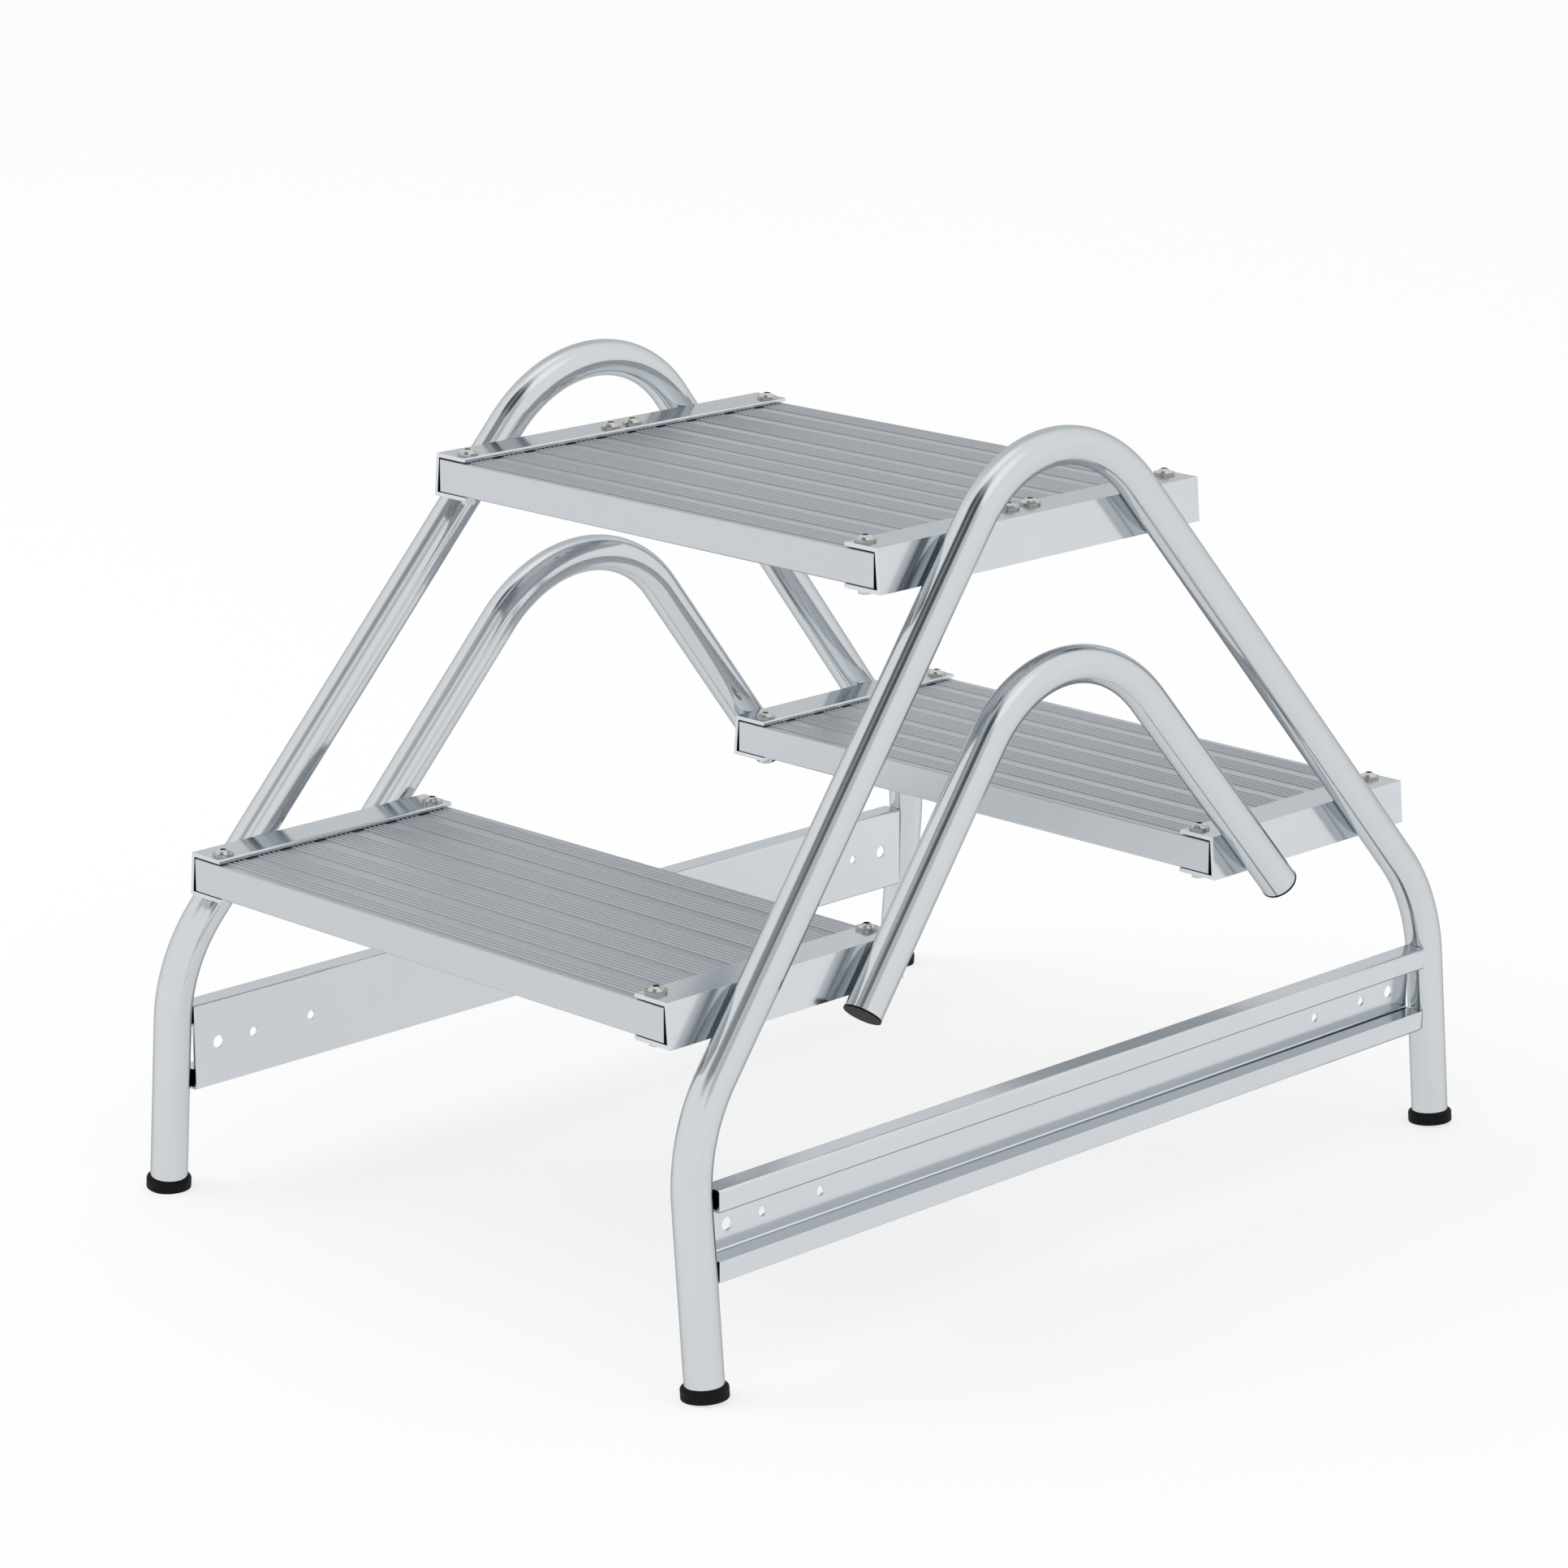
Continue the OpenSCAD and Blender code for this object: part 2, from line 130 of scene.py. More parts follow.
@dataclass(frozen=True)
class DrawnMetal:
    """A metal that was pulled through a die, with fine lines along its length.

    The lines are a few hundredths of a millimetre apart in the real one. They are drawn nearly a
    millimetre apart, so that they still break up a highlight at this size.
    """

    name: str
    colour: str
    dull_colour: str
    roughness: tuple[float, float]
    grain: Grain
    line_mm: float = 0.9
    line_share: float = 0.4
    line_depth_mm: float = 0.004
    relief: float = 0.5
    cloud_mm: float = 45.0
    edge_tint: str = "#CBCED0"
    uses_uv: bool = False

    def build(self) -> bpy.types.Material:
        """Builds the material.

        Returns:
            A metal whose colour, roughness and relief come from its die lines and oxide clouds.
        """
        material, tree = blank_material(self.name)
        place = add_node(tree, "TexCoord").outputs["UV" if self.uses_uv else "Object"]
        lines = self.die_lines(tree, place)
        clouds = add_node(tree, "TexNoise", {"Scale": 1 / (self.cloud_mm * MM), "Detail": 3.0,
                                             "Roughness": 0.55}, {"Vector": place})
        wear = add_node(tree, "Mix", {"data_type": "FLOAT", 0: self.line_share},
                        {2: clouds.outputs["Fac"], 3: lines})
        tint = add_node(tree, "Mix", {"data_type": "RGBA", 6: linear(self.dull_colour),
                                      7: linear(self.colour)}, {0: wear.outputs[0]})
        gloss = add_node(tree, "MapRange", {"To Min": self.roughness[0],
                                            "To Max": self.roughness[1]},
                         {"Value": wear.outputs[0]})
        relief = add_node(tree, "Bump", {"Strength": self.relief,
                                         "Distance": self.line_depth_mm * MM},
                          {"Height": lines})
        colour, rough, normal = self.finish(tree, place, tint.outputs[2], gloss.outputs[0],
                                            relief.outputs[0])
        shader = add_node(tree, "BsdfPrincipled",
                          {"Metallic": 1.0, "Specular Tint": linear(self.edge_tint)},
                          {"Base Color": colour, "Roughness": rough, "Normal": normal})
        add_node(tree, "OutputMaterial", {}, {"Surface": shader.outputs[0]})
        return material

    def die_lines(self, tree: bpy.types.NodeTree, place: Any) -> Any:
        """Adds the lines that the die leaves along the profile.

        Args:
            tree: The material's node tree.
            place: The coordinates to draw them on.

        Returns:
            The socket with the lines' height, from 0 to 1.
        """
        scale = tuple(share / (max(self.grain.value) * self.line_mm * MM)
                      for share in self.grain.value)
        stretched = add_node(tree, "Mapping", {"Scale": scale}, {"Vector": place})
        return add_node(tree, "TexNoise", {"Scale": 1.0, "Detail": 2.0, "Roughness": 0.6},
                        {"Vector": stretched.outputs[0]}).outputs["Fac"]

    def finish(self, tree: bpy.types.NodeTree, place: Any, colour: Any, rough: Any,
               normal: Any) -> tuple[Any, Any, Any]:
        """Lets a finish of this kind change the shader's inputs; the plain one keeps them."""
        return colour, rough, normal


@dataclass(frozen=True)
class TreadMetal(DrawnMetal):
    """An extruded tread, smooth on its sides and etched matt between and on its grip ribs."""

    grip_colour: str = "#CDD0D5"
    flank_shade_colour: str = "#BCC0C4"
    groove_shade_colour: str = "#AAAEB2"
    grip_roughness: float = 0.42
    deck_mm: float = 236.2
    rise_mm: float = 240.0
    rib_mm: float = 0.9
    foot_of_rib: tuple[float, float] = (0.4, 0.7)
    flank_upright: tuple[float, float] = (0.6, 0.9)

    def finish(self, tree: bpy.types.NodeTree, place: Any, colour: Any, rough: Any,
               normal: Any) -> tuple[Any, Any, Any]:
        """Makes the ribbed face duller than the sides; paints shade on rib flanks, most at their
        foot.

        Args:
            tree: The material's node tree.
            place: Object coordinates.
            colour: The socket with the plain colour.
            rough: The socket with the plain roughness.
            normal: The socket with the relief.

        Returns:
            The sockets for colour, roughness and normal.
        """
        height = add_node(tree, "SeparateXYZ", {}, {0: place}).outputs["Z"]
        deck = add_node(tree, "Math", {"operation": "MODULO", 1: self.rise_mm * MM}, {0: height})
        grip = add_node(tree, "Math", {"operation": "GREATER_THAN",
                                       1: (self.deck_mm - self.rib_mm / 2) * MM},
                        {0: deck.outputs[0]}).outputs[0]
        # Painted shade: the upright rib flanks are darker, most of all at their foot in the
        # groove
        foot_mm, top_mm = (self.deck_mm + self.rib_mm * share for share in self.foot_of_rib)
        low = add_node(tree, "MapRange", {"From Min": top_mm * MM, "From Max": foot_mm * MM},
                       {"Value": deck.outputs[0]}).outputs[0]
        facing = add_node(tree, "NewGeometry").outputs["True Normal"]
        upright = add_node(tree, "SeparateXYZ", {}, {0: facing}).outputs["Z"]
        flank = add_node(tree, "MapRange", {"From Min": self.flank_upright[1],
                                            "From Max": self.flank_upright[0]},
                         {"Value": upright}).outputs[0]
        sides = add_node(tree, "Mix", {"data_type": "RGBA", 6: linear(self.flank_shade_colour),
                                       7: linear(self.groove_shade_colour)}, {0: low})
        shaded_ribs = add_node(tree, "Mix", {"data_type": "RGBA", 6: linear(self.grip_colour)},
                        {0: flank, 7: sides.outputs[2]})
        tint = add_node(tree, "Mix", {"data_type": "RGBA"},
                        {0: grip, 6: colour, 7: shaded_ribs.outputs[2]})
        gloss = add_node(tree, "Mix", {"data_type": "FLOAT", 3: self.grip_roughness},
                         {0: grip, 2: rough})
        return tint.outputs[2], gloss.outputs[0], normal


@dataclass(frozen=True)
class RailMetal(DrawnMetal):
    """An extruded rail, with painted shade and relief along the lower edge of its upper hollow.
    """

    edge_up_mm: float = 114.35
    edge_wide_mm: float = 0.7
    edge_deep_mm: float = 0.25
    edge_relief: float = 0.6
    edge_shade_colour: str = "#8F9397"
    face_out_mm: float = 255.0

    def finish(self, tree: bpy.types.NodeTree, place: Any, colour: Any, rough: Any,
               normal: Any) -> tuple[Any, Any, Any]:
        """Paints shade on the edge as a darker line with its own relief, on the outer face alone.

        Args:
            tree: The material's node tree.
            place: Object coordinates.
            colour: The socket with the plain colour.
            rough: The socket with the plain roughness.
            normal: The socket with the relief.

        Returns:
            The sockets for colour, roughness and normal.
        """
        mirrored = add_node(tree, "VectorMath", {"operation": "ABSOLUTE"}, {0: place}).outputs[0]
        split = add_node(tree, "SeparateXYZ", {}, {0: mirrored})
        line = add_node(tree, "Math", {"operation": "COMPARE", 1: self.edge_up_mm * MM,
                                       2: self.edge_wide_mm / 2 * MM},
                        {0: split.outputs["Z"]}).outputs[0]
        outer = add_node(tree, "Math", {"operation": "GREATER_THAN", 1: self.face_out_mm * MM},
                         {0: split.outputs["X"]}).outputs[0]
        edge = add_node(tree, "Math", {"operation": "MULTIPLY"}, {0: line, 1: outer}).outputs[0]
        # Painted shade darkens the edge line; the bump below is its relief
        tint = add_node(tree, "Mix", {"data_type": "RGBA", 7: linear(self.edge_shade_colour)},
                        {0: edge, 6: colour})
        relief = add_node(tree, "Bump", {"Strength": self.edge_relief, "invert": True,
                                         "Distance": self.edge_deep_mm * MM},
                          {"Height": edge, "Normal": normal})
        return tint.outputs[2], rough, relief.outputs[0]


@dataclass(frozen=True)
class TurnedSteel:
    """Stainless steel, cold formed and bright, with a faint warm cast and a fine even grain.

    Faces that stand upright take the side colour, between the two values of side_upright.
    """

    name: str
    side_colour: str
    colour: str = "#D6D5D0"
    shade: str = "#B4B3AE"
    grain_mm: float = 0.5
    roughness: tuple[float, float] = (0.18, 0.34)
    side_upright: tuple[float, float] = (0.1, 0.35)

    def build(self) -> bpy.types.Material:
        """Builds the material.

        Returns:
            A bright metal with a mottled roughness and sides of their own colour.
        """
        material, tree = blank_material(self.name)
        place = add_node(tree, "TexCoord").outputs["Object"]
        grain = add_node(tree, "TexNoise", {"Scale": 1 / (self.grain_mm * MM), "Detail": 2.0},
                         {"Vector": place}).outputs["Fac"]
        tint = add_node(tree, "Mix", {"data_type": "RGBA", 6: linear(self.shade),
                                      7: linear(self.colour)}, {0: grain})
        facing = add_node(tree, "NewGeometry").outputs["True Normal"]
        upright = add_node(tree, "SeparateXYZ", {}, {0: facing}).outputs["Z"]
        side = add_node(tree, "MapRange", {"From Min": self.side_upright[1],
                                           "From Max": self.side_upright[0]},
                        {"Value": upright}).outputs[0]
        # Upright faces take the side colour; on the screws it is painted shade in sockets and
        # rims
        tint = add_node(tree, "Mix", {"data_type": "RGBA", 7: linear(self.side_colour)},
                        {0: side, 6: tint.outputs[2]})
        gloss = add_node(tree, "MapRange", {"To Min": self.roughness[0],
                                            "To Max": self.roughness[1]}, {"Value": grain})
        shader = add_node(tree, "BsdfPrincipled", {"Metallic": 1.0},
                          {"Base Color": tint.outputs[2], "Roughness": gloss.outputs[0]})
        add_node(tree, "OutputMaterial", {}, {"Surface": shader.outputs[0]})
        return material


@dataclass(frozen=True)
class MouldedBlack:
    """Black rubber or plastic from a mould, matt where the mould was blasted."""

    name: str
    colour: str
    bloom: str
    roughness: tuple[float, float]
    grain_mm: float
    ior: float
    sheen: float
    relief: float = 0.4
    relief_depth_mm: float = 0.03
    cloud_scale: float = 120.0

    def build(self) -> bpy.types.Material:
        """Builds the material.

        Returns:
            A dark plastic with a fine moulded grain and a faint grey bloom.
        """
        material, tree = blank_material(self.name)
        place = add_node(tree, "TexCoord").outputs["Object"]
        grain = add_node(tree, "TexVoronoi", {"Scale": 1 / (self.grain_mm * MM)},
                         {"Vector": place}).outputs["Distance"]
        cloud = add_node(tree, "TexNoise", {"Scale": self.cloud_scale, "Detail": 4.0},
                         {"Vector": place}).outputs["Fac"]
        tint = add_node(tree, "Mix", {"data_type": "RGBA", 6: linear(self.colour),
                                      7: linear(self.bloom)}, {0: cloud})
        gloss = add_node(tree, "MapRange", {"To Min": self.roughness[0],
                                            "To Max": self.roughness[1]}, {"Value": cloud})
        relief = add_node(tree, "Bump", {"Strength": self.relief,
                                         "Distance": self.relief_depth_mm * MM},
                          {"Height": grain})
        shader = add_node(tree, "BsdfPrincipled",
                          {"IOR": self.ior, "Specular IOR Level": self.sheen},
                          {"Base Color": tint.outputs[2], "Roughness": gloss.outputs[0],
                           "Normal": relief.outputs[0]})
        add_node(tree, "OutputMaterial", {}, {"Surface": shader.outputs[0]})
        return material


# Drawn aluminium tube, bent cold: bright, with soft streaks along it
TUBE = DrawnMetal("drawn_aluminium_tube", "#D4D8DB", "#CDD1D4", (0.10, 0.14), Grain.ALONG_UV,
                  line_depth_mm=0.0004, edge_tint="#BFC3C6", uses_uv=True)
# Extruded aluminium brackets, mill finish: clear but soft reflections
PROFILE = DrawnMetal("extruded_aluminium_profile", "#D9DDE1", "#D1D5D9", (0.12, 0.18),
                     Grain.ALONG_Y, line_depth_mm=0.0005)
# Extruded aluminium rails, the same finish with painted shade and relief along the outer face
RAIL = RailMetal("extruded_aluminium_rail", "#D9DDE1", "#D1D5D9", (0.12, 0.18), Grain.ALONG_Y,
                 line_depth_mm=0.0005)
# Extruded aluminium treads: smooth sides, and a grip face that is etched matt,
# with painted shade on the rib flanks, darkest at their foot
TREAD = TreadMetal("extruded_aluminium_tread", "#CDD1D5", "#C6CACE", (0.24, 0.34),
                   Grain.ALONG_X, line_depth_mm=0.001)
# The platform's own extrusion: the same finish, with darker painted shade on its rib flanks
PLATFORM_TREAD = TreadMetal("extruded_aluminium_platform_tread", "#CDD1D5", "#C6CACE",
                            (0.24, 0.34), Grain.ALONG_X, line_depth_mm=0.001,
                            flank_shade_colour="#ADB1B5", groove_shade_colour="#979B9F")
# Stainless screws: bright heads, with painted shade on the socket walls and rims
STEEL = TurnedSteel("cold_formed_stainless_steel", "#6C6B67")
# Stamped stainless washers: a greyer face than the screws, with a bright cut rim
WASHER_STEEL = TurnedSteel("stamped_stainless_steel", "#C2C1BD", colour="#9A9A96",
                           shade="#858581")
# Stainless nuts: bright all over
NUT_STEEL = TurnedSteel("bright_stainless_steel", "#CBCAC5")
# Moulded rubber feet: soft, matt and a little dusty
RUBBER = MouldedBlack("moulded_black_rubber", "#0E0F0F", "#171818", (0.55, 0.7), 0.6, 1.52,
                      sheen=0.1)
# Moulded polyethylene end caps: black with a dull shine
PLASTIC = MouldedBlack("moulded_black_polyethylene", "#0E0E0E", "#161616", (0.38, 0.5), 0.8, 1.5,
                       sheen=0.05)
FINISHES = (TUBE, PROFILE, RAIL, TREAD, PLATFORM_TREAD, STEEL, WASHER_STEEL, NUT_STEEL, RUBBER,
            PLASTIC)


@dataclass
class BentTube:
    """A tube of a side frame, swept along the runs and bends of its centre line.

    Lengths are in millimetres, in the side frame's own leaning plane: y is the walking
    direction, and w runs up the lean from the floor.
    """

    name: str
    side: Side
    replaced: str
    start: tuple[float, float]
    heading: float
    path: list[tuple[float, float, float]]
    splay: float = 5.0
    floor_x: float = 258.316
    radius: float = 12.5
    wall: float = 2.0
    facets: int = 64
    bend_step: float = 2.5
    join_mm: float = 0.01
    smooth_under: float = 40.0
    trail_mm: float = 4.0
    trail: list[tuple[Vector, Vector]] = field(default_factory=list)

    def place(self, y: float, w: float) -> Vector:
        """Gives the point of the room at a point of the frame's plane.

        Args:
            y: Its place in the walking direction.
            w: Its height up the lean.

        Returns:
            The point, in metres.
        """
        lean = math.radians(self.splay)
        return Vector((self.side.value * (self.floor_x - w * math.sin(lean)), y,
                       w * math.cos(lean))) * MM

    def along(self, angle: float) -> Vector:
        """Gives a direction of the frame's plane as it lies in the room.

        Args:
            angle: Degrees from the frame's upright, towards the back.

        Returns:
            The direction, one metre long.
        """
        turn = math.radians(angle)
        return (self.place(math.sin(turn), math.cos(turn)) - self.place(0, 0)).normalized()

    def build(self) -> bpy.types.Object:
        """Sweeps a ring along the centre line.

        Returns:
            The tube, riding on the frame in place of its solid.
        """
        y, w = self.start
        angle = self.heading
        deselect()
        turn = self.along(angle).to_track_quat("Z", "Y").to_euler()
        bpy.ops.mesh.primitive_circle_add(vertices=self.facets, radius=self.radius * MM,
                                          fill_type="NGON", location=self.place(y, w),
                                          rotation=turn)
        tube = bpy.context.object
        tube.name = tube.data.name = self.name
        bpy.ops.object.transform_apply(location=True, rotation=True, scale=True)
        bpy.ops.object.mode_set(mode="EDIT")
        bpy.ops.mesh.select_all(action="SELECT")
        bpy.ops.mesh.inset(thickness=self.wall * MM)
        bpy.ops.mesh.delete(type="FACE")
        bpy.ops.mesh.select_all(action="SELECT")
        axis = self.along(90).cross(self.along(0))
        for run, bend, bend_r in self.path:
            step = self.along(angle) * run * MM
            self.note(y, w, angle, run)
            bpy.ops.mesh.extrude_region_move(TRANSFORM_OT_translate={"value": step})
            y += run * math.sin(math.radians(angle))
            w += run * math.cos(math.radians(angle))
            if bend:
                mid_y = y + bend_r * math.cos(math.radians(angle))
                mid_w = w - bend_r * math.sin(math.radians(angle))
                bpy.ops.mesh.spin(steps=round(bend / self.bend_step), angle=math.radians(bend),
                                  center=self.place(mid_y, mid_w), axis=axis)
                self.note_bend(mid_y, mid_w, angle, bend, bend_r)
                angle += bend
                y = mid_y - bend_r * math.cos(math.radians(angle))
                w = mid_w + bend_r * math.sin(math.radians(angle))
        bpy.ops.mesh.select_all(action="SELECT")
        bpy.ops.mesh.remove_doubles(threshold=self.join_mm * MM)
        bpy.ops.mesh.normals_make_consistent(inside=False)
        bpy.ops.object.mode_set(mode="OBJECT")
        bpy.ops.object.shade_smooth_by_angle(angle=math.radians(self.smooth_under))
        self.unroll(tube)
        tube.data.materials.append(bpy.data.materials[TUBE.name])
        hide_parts(self.replaced)
        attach(tube, "root")
        LOG.info("%s: %d faces", self.name, len(tube.data.polygons))
        return tube

    def note(self, y: float, w: float, angle: float, run: float) -> None:
        """Keeps the centre line of a straight run, for the tube's own coordinates.

        Args:
            y: The run's start in the walking direction.
            w: The run's start up the lean.
            angle: Its direction, in degrees from the frame's upright.
            run: Its length.
        """
        count = max(2, round(run / self.trail_mm))
        for i in range(count):
            far = run * i / count
            point = self.place(y + far * math.sin(math.radians(angle)),
                               w + far * math.cos(math.radians(angle)))
            self.trail.append((point, self.along(angle + 90)))

    def note_bend(self, mid_y: float, mid_w: float, angle: float, bend: float,
                  bend_r: float) -> None:
        """Keeps the centre line of a bend, for the tube's own coordinates.

        Args:
            mid_y: The bend's middle in the walking direction.
            mid_w: The bend's middle up the lean.
            angle: The direction in which it starts, in degrees from the frame's upright.
            bend: How far it turns, in degrees.
            bend_r: Its radius.
        """
        for i in range(round(bend)):
            turn = math.radians(angle + i)
            point = self.place(mid_y - bend_r * math.cos(turn), mid_w + bend_r * math.sin(turn))
            self.trail.append((point, self.along(angle + i + 90)))

    def unroll(self, tube: bpy.types.Object) -> None:
        """Gives the tube a map in metres: its length, and the way round it.

        Args:
            tube: The swept tube.
        """
        tree = KDTree(len(self.trail))
        lengths = [0.0]
        for i, (point, _) in enumerate(self.trail):
            tree.insert(point, i)
            if i:
                lengths.append(lengths[-1] + (point - self.trail[i - 1][0]).length)
        tree.balance()
        flat = self.along(90).cross(self.along(0)).normalized()
        spots = []
        for vertex in tube.data.vertices:
            _, i, _ = tree.find(vertex.co)
            point, out = self.trail[i]
            offset = vertex.co - point
            forward = out.cross(flat)
            far = offset.dot(forward)
            spots.append((lengths[i] + far, math.atan2(offset.dot(flat), offset.dot(out))))
        layer = tube.data.uv_layers.new(name="unrolled").data
        for face in tube.data.polygons:
            first = spots[tube.data.loops[face.loop_start].vertex_index][1]
            for k in face.loop_indices:
                length, turn = spots[tube.data.loops[k].vertex_index]
                turn += math.tau * round((first - turn) / math.tau)
                layer[k].uv = (length, turn * self.radius * MM)


@dataclass
class SideFrame:
    """A side frame's main tube and inner tube, with the sizes of the solids in millimetres."""

    side: Side
    incline: float = 40.0
    crown_r: float = 100.0
    leg_bend_r: float = 112.0
    leg_y: float = 351.7
    leg_end_w: float = 8.801
    leg_l: float = 111.764
    incline_l: float = 387.208
    inner_end: tuple[float, float] = (199.187, 203.073)
    inner_l: float = 190.705

    def build(self) -> list[bpy.types.Object]:
        """Builds both tubes.

        Returns:
            The main tube and the inner one.
        """
        name = self.side.name.lower()
        crown = 180 - 2 * self.incline
        main = BentTube(
            f"{name}_main_tube_sweep", self.side, f"{name}_main_tube",
            (-self.leg_y, self.leg_end_w), 0.0,
            [(self.leg_l, self.incline, self.leg_bend_r), (self.incline_l, crown, self.crown_r),
             (self.incline_l, self.incline, self.leg_bend_r), (self.leg_l, 0, 0)])
        inner = BentTube(
            f"{name}_inner_tube_sweep", self.side, f"{name}_inner_tube",
            (-self.inner_end[0], self.inner_end[1]), self.incline,
            [(self.inner_l, crown, self.crown_r), (self.inner_l, 0, 0)])
        return [main.build(), inner.build()]


class CadFinishes:
    """Dresses the solids that keep their shape."""

    by_ending = {
        "base_rail": RAIL, "bracket": PROFILE,
        "platform_tread": PLATFORM_TREAD, "tread": TREAD, "foot": RUBBER,
        "end_cap": PLASTIC, "screws": STEEL, "washers": WASHER_STEEL, "nuts": NUT_STEEL,
        "tube": PROFILE,
    }
    eased = ("base_rail", "bracket")
    edge_mm = 0.4
    edge_steps = 2
    join_mm = 0.001
    flat_under = 1.0
    sharp_over = 40.0

    def dress(self) -> None:
        """Gives each solid the finish of its kind."""
        for name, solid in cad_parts.items():
            ending = next(e for e in self.by_ending if name.endswith(e))
            finish = bpy.data.materials[self.by_ending[ending].name]
            for held in solid.material_slots:
                held.material = finish
            if ending in self.eased:
                self.ease_edges(solid)
            LOG.info("%s: %s", name, finish.name)

    def ease_edges(self, solid: bpy.types.Object) -> None:
        """Breaks the sharp edges of an extrusion, as a die with worn corners does.

        Args:
            solid: A carried-over solid, whose own mesh stays as it is.
        """
        weld = solid.modifiers.new("joined_faces", "WELD")
        weld.merge_threshold = self.join_mm * MM
        flat = solid.modifiers.new("flat_faces", "DECIMATE")
        flat.decimate_type = "DISSOLVE"
        flat.angle_limit = math.radians(self.flat_under)
        edge = solid.modifiers.new("eased_edges", "BEVEL")
        edge.width = self.edge_mm * MM
        edge.segments = self.edge_steps
        edge.limit_method = "ANGLE"
        edge.angle_limit = math.radians(self.sharp_over)
        edge.harden_normals = True


@dataclass(frozen=True)
class SoftTone:
    """A soft-edged patch of the room that only shows in the metal.

    The way is in degrees round from the front to the right, and in degrees up. The reach is
    half its width and half its height, in degrees. A strength of 1 is the white of the room.
    """

    way: tuple[float, float]
    reach: tuple[float, float]
    shade: str
    strength: float = 1.0
    soft_edge: float = 0.6

    def lay_over(self, tree: bpy.types.NodeTree, way_out: Any, under: Any) -> Any:
        """Lays the patch over the room's colour.

        Args:
            tree: The world's node tree.
            way_out: The socket with the direction that is looked in.
            under: The socket with the colour so far.

        Returns:
            The socket with the new colour.
        """
        around, up = (math.radians(angle) for angle in self.way)
        out = Vector((math.sin(around) * math.cos(up), -math.cos(around) * math.cos(up),
                      math.sin(up)))
        width, height = (math.sin(math.radians(angle)) for angle in self.reach)
        flat = add_node(tree, "Mapping",
                        {"vector_type": "TEXTURE", "Location": out, "Scale": (width, height, 1.0),
                         "Rotation": (-out).to_track_quat("Z", "Y").to_euler()},
                        {"Vector": way_out})
        edge = add_node(tree, "TexGradient", {"gradient_type": "SPHERICAL"},
                        {"Vector": flat.outputs[0]})
        soft = add_node(tree, "MapRange", {"interpolation_type": "SMOOTHSTEP",
                                           "From Max": self.soft_edge},
                        {"Value": edge.outputs["Fac"]})
        colour = [value * self.strength for value in linear(self.shade)]
        return add_node(tree, "Mix", {"data_type": "RGBA", 7: colour},
                        {0: soft.outputs[0], 6: under}).outputs[2]


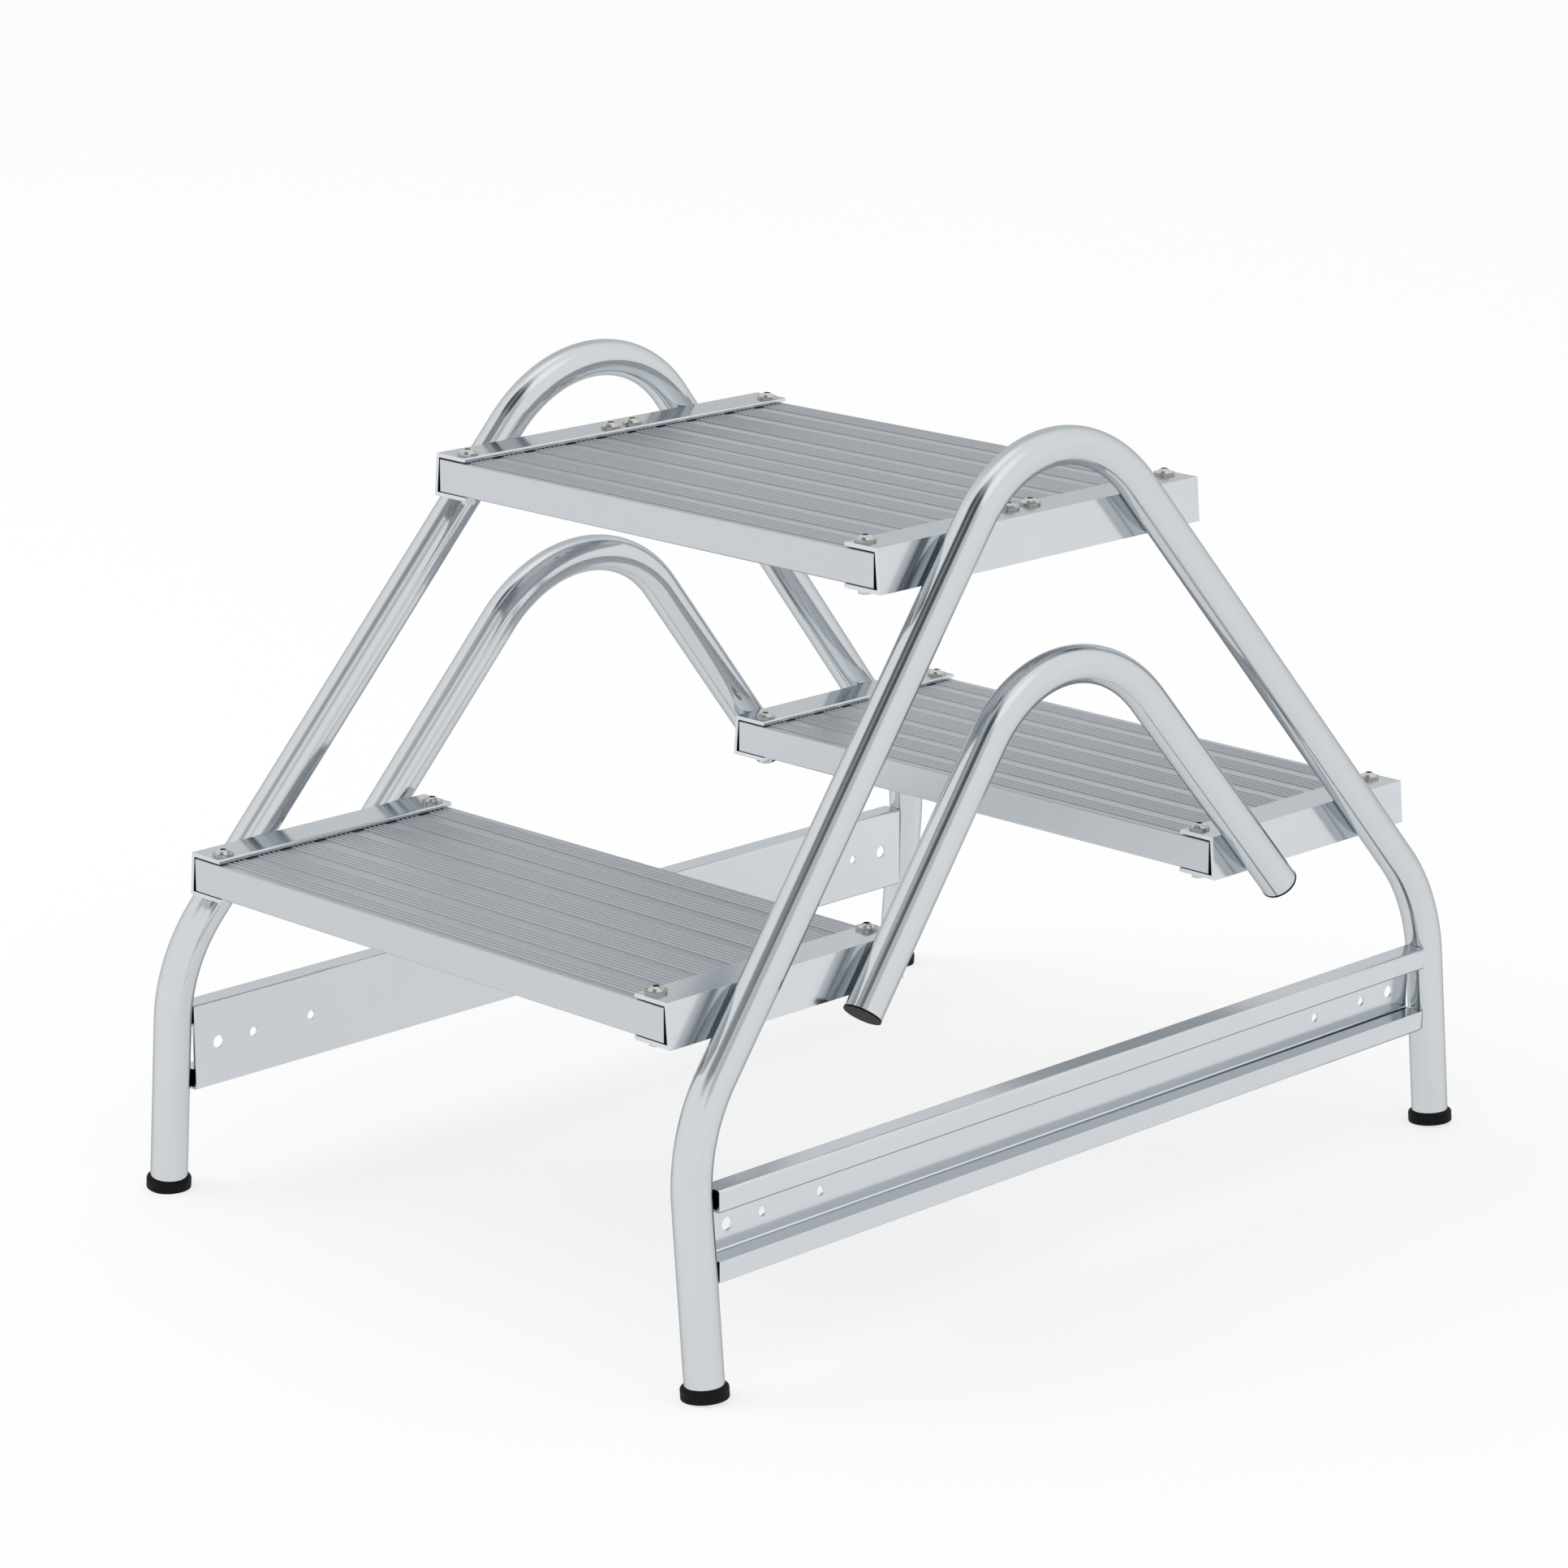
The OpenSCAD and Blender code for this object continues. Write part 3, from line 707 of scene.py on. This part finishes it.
@dataclass
class Studio:
    """A pale floor, soft light all round, and dark and grey patches for the metal to mirror."""

    floor_size: float = 60.0
    floor_colour: str = "#FAFAFA"
    floor_roughness: float = 0.9
    floor_lift: float = 0.7
    room_light: float = 0.93
    lamp_spot: tuple[float, float, float] = (-2.6, -2.4, 3.4)
    lamp_size: float = 2.4
    lamp_power: float = 40.0
    lamp_aim: tuple[float, float, float] = (0.0, 0.0, 0.25)
    tones: tuple[SoftTone, ...] = (
        SoftTone((-125, 42), (41.6, 21.3), "#E2E5E8"),
        SoftTone((-98, 74), (25.1, 15.7), "#FFFFFF", 1.2),
        SoftTone((97, 62), (25.8, 19.5), "#FFFFFF", 1.2),
        SoftTone((58, 42), (15.3, 19.1), "#D0D3D6"),
        SoftTone((6, 63), (25.8, 28.8), "#9A9FA2"),
        SoftTone((-25, 63), (13.6, 15.4), "#52595C"),
        SoftTone((34, 61), (14.5, 16.3), "#4C5356"),
    )

    def build(self) -> None:
        """Builds the floor, the room and the lamp."""
        self.floor()
        self.world()
        self.lamp()

    def floor(self) -> None:
        """Lays the floor: matt and nearly white, so it keeps the object's soft shadow."""
        material, tree = blank_material("matt_floor_paint")
        paint = add_node(tree, "BsdfPrincipled", {"Base Color": linear(self.floor_colour),
                                                  "Roughness": self.floor_roughness,
                                                  "Specular IOR Level": 0.0})
        white = add_node(tree, "Emission")
        ray = add_node(tree, "LightPath")
        lift = add_node(tree, "Math", {"operation": "MAXIMUM"},
                        {0: ray.outputs["Is Camera Ray"], 1: ray.outputs["Is Glossy Ray"]})
        lift = add_node(tree, "Math", {"operation": "MAXIMUM"},
                        {0: lift.outputs[0], 1: ray.outputs["Is Transmission Ray"]})
        lift = add_node(tree, "Math", {"operation": "MULTIPLY", 1: self.floor_lift},
                        {0: lift.outputs[0]})
        mixed = add_node(tree, "MixShader", {}, {0: lift.outputs[0], 1: paint.outputs[0],
                                                 2: white.outputs[0]})
        add_node(tree, "OutputMaterial", {}, {"Surface": mixed.outputs[0]})
        deselect()
        bpy.ops.mesh.primitive_plane_add(size=self.floor_size)
        plane = bpy.context.object
        plane.name = "studio_floor"
        plane.data.materials.append(material)

    def world(self) -> None:
        """Makes the room white to the eye, toned in the metal, and its light plain."""
        world = bpy.data.worlds.new("studio_room")
        bpy.context.scene.world = world
        world.use_nodes = True
        tree = world.node_tree
        tree.nodes.clear()
        ray = add_node(tree, "LightPath")
        seen = add_node(tree, "Math", {"operation": "MAXIMUM"},
                        {0: ray.outputs["Is Camera Ray"], 1: ray.outputs["Is Glossy Ray"]})
        seen = add_node(tree, "Math", {"operation": "MAXIMUM"},
                        {0: seen.outputs[0], 1: ray.outputs["Is Transmission Ray"]})
        strength = add_node(tree, "MapRange", {"To Min": self.room_light, "To Max": 1.0},
                            {"Value": seen.outputs[0]})
        way_out = add_node(tree, "TexCoord").outputs["Generated"]
        mirrored = add_node(tree, "RGB")
        mirrored.outputs[0].default_value = linear("#FFFFFF")
        mirrored = mirrored.outputs[0]
        for tone in self.tones:
            mirrored = tone.lay_over(tree, way_out, mirrored)
        colour = add_node(tree, "Mix", {"data_type": "RGBA", 6: linear("#FFFFFF")},
                          {0: ray.outputs["Is Glossy Ray"], 7: mirrored})
        light = add_node(tree, "Background", {},
                         {"Color": colour.outputs[2], "Strength": strength.outputs[0]})
        add_node(tree, "OutputWorld", {}, {"Surface": light.outputs[0]})

    def lamp(self) -> None:
        """Hangs a soft square lamp that looks at the object."""
        data = bpy.data.lights.new("key_lamp", "AREA")
        data.size = self.lamp_size
        data.energy = self.lamp_power
        lamp = bpy.data.objects.new("key_lamp", data)
        bpy.context.scene.collection.objects.link(lamp)
        lamp.location = self.lamp_spot
        lamp.visible_glossy = False
        look = Vector(self.lamp_aim) - Vector(self.lamp_spot)
        lamp.rotation_euler = look.to_track_quat("-Z", "Y").to_euler()


@dataclass
class PhotoCamera:
    """The camera at the photograph's viewing angle."""

    azimuth: float = 44.848
    elevation: float = 15.161
    roll: float = 0.043
    target_mm: tuple[float, float, float] = (18.23, -33.28, 292.23)
    distance_mm: float = 3221.4
    lens: float = 111.92
    shift: tuple[float, float] = (-0.0080, -0.0189)
    sensor: float = 36.0
    clip: tuple[float, float] = (0.05, 200.0)

    def build(self) -> None:
        """Puts the camera in the scene and makes it the one that is used."""
        a, e = math.radians(self.azimuth), math.radians(self.elevation)
        back = Vector((math.sin(a) * math.cos(e), -math.cos(a) * math.cos(e), math.sin(e)))
        data = bpy.data.cameras.new("photo_camera")
        data.lens = self.lens
        data.sensor_width = self.sensor
        data.shift_x, data.shift_y = self.shift
        data.clip_start, data.clip_end = self.clip
        camera = bpy.data.objects.new("photo_camera", data)
        bpy.context.scene.collection.objects.link(camera)
        camera.location = (Vector(self.target_mm) + back * self.distance_mm) * MM
        turn = (-back).to_track_quat("-Z", "Y").to_matrix().to_4x4()
        camera.rotation_euler = turn.to_euler()
        camera.rotation_euler.rotate_axis("Z", math.radians(self.roll))
        bpy.context.scene.camera = camera


def main() -> None:
    """Builds the classes in order."""
    logging.basicConfig(level=logging.INFO, format="%(message)s")
    bpy.context.scene.view_settings.view_transform = "Standard"
    for finish in FINISHES:
        finish.build()
    CadFinishes().dress()
    for side in Side:
        SideFrame(side).build()
    Studio().build()
    PhotoCamera().build()
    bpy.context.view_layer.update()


if __name__ == "__main__":
    main()
